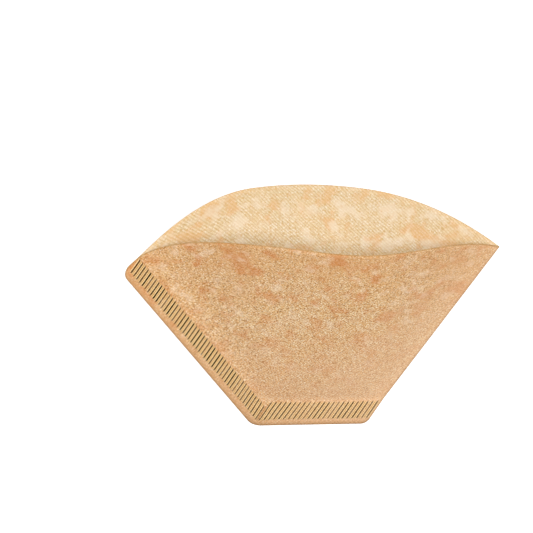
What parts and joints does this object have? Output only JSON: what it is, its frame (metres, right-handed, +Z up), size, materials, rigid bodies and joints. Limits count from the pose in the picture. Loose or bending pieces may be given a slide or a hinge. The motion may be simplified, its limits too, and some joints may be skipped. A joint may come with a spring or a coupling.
{
  "type": "paper coffee filter",
  "caption": "Cone-shaped paper coffee filter, folded along one side, with crimped bands along the other side and the bottom and a domed, open mouth.",
  "frame": {"origin": "on the flat of the back that the filter rests on, on its centre line, half way up its height", "axes": "+X from the crimped side to the folded side, +Y to the mouth, +Z up from the table"},
  "size_m": [0.1624, 0.1244, 0.048],
  "materials": {
    "filter_paper": "unbleached, creped, matte"
  },
  "bodies": {
    "root": {"filter_sheet": "filter_paper"}
  },
  "joints": []
}
